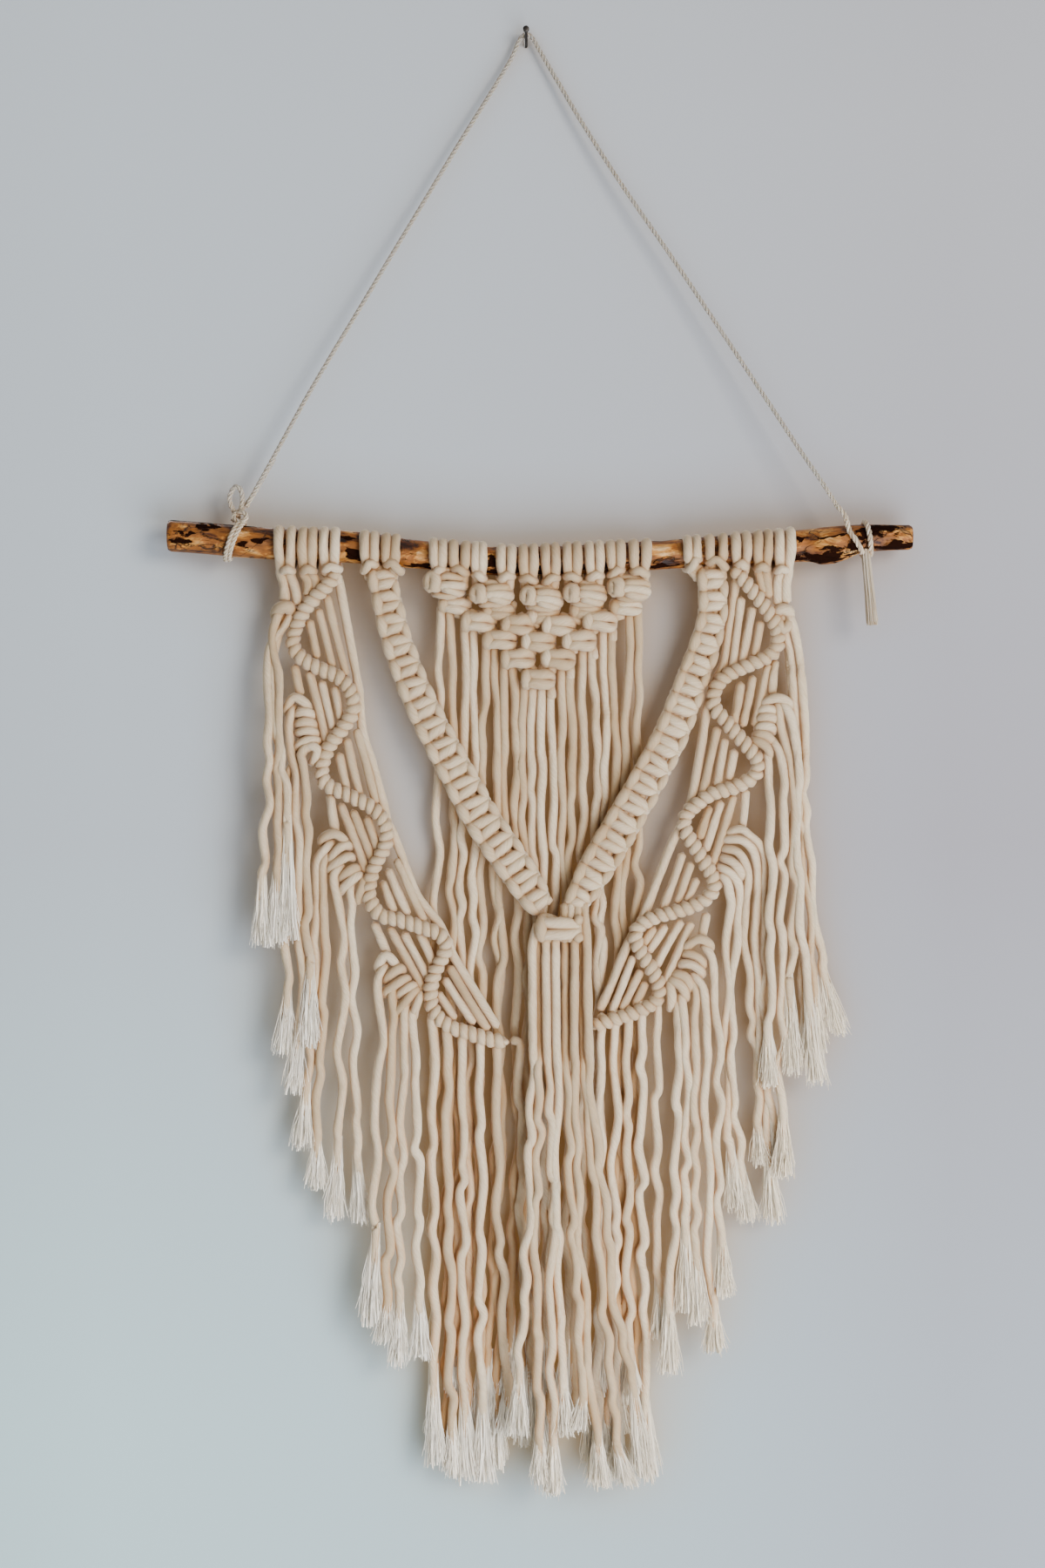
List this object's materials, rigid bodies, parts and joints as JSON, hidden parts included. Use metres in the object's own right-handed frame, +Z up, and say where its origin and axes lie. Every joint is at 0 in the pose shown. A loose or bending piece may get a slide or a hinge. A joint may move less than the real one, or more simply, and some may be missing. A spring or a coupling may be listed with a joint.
{
  "type": "macrame wall hanging on a wooden branch with a nail",
  "caption": "Knotted cotton wall hanging: zigzag ropes, flat sennits, berry knots and long fringe on a peeled branch, hung by a cord from a nail.",
  "frame": {"origin": "centre of the nail's wall end, in the plane of the wall", "axes": "+Z up, +X to the right as seen from the front, +Y into the wall; the front of the hanging faces -Y"},
  "size_m": [0.3998, 0.0303, 0.7882],
  "materials": {
    "nail_steel": "dark wire nail, a little dull",
    "branch_wood": "peeled and oiled branch with dark patches of bark left in its hollows",
    "hanger_cotton": "thin plied cotton cord, matt",
    "cord_cotton": "single-strand natural cotton cord, matt, with brushed-out ends"
  },
  "bodies": {
    "root": {"nail": "nail_steel", "branch": "branch_wood", "hanger_cord": "hanger_cotton", "hanger_hitch_left": "hanger_cotton", "hanger_tie_right": "hanger_cotton", "heading_1": "cord_cotton", "heading_2": "cord_cotton", "heading_3": "cord_cotton", "heading_4": "cord_cotton", "heading_5": "cord_cotton", "zigzag_panel_left": "cord_cotton", "zigzag_panel_right": "cord_cotton", "sennit_left": "cord_cotton", "sennit_right": "cord_cotton", "berry_knot_1": "cord_cotton", "berry_knot_2": "cord_cotton", "berry_knot_3": "cord_cotton", "berry_knot_4": "cord_cotton", "berry_knot_5": "cord_cotton", "knot_triangle": "cord_cotton", "joining_knot": "cord_cotton", "fringe_centre": "cord_cotton", "fringe_bundle": "cord_cotton", "fringe_left_1": "cord_cotton", "fringe_left_2": "cord_cotton", "fringe_left_3": "cord_cotton", "fringe_left_4": "cord_cotton", "fringe_left_5": "cord_cotton", "fringe_right_1": "cord_cotton", "fringe_right_2": "cord_cotton", "fringe_right_3": "cord_cotton", "fringe_right_4": "cord_cotton", "fringe_right_5": "cord_cotton"}
  },
  "joints": []
}
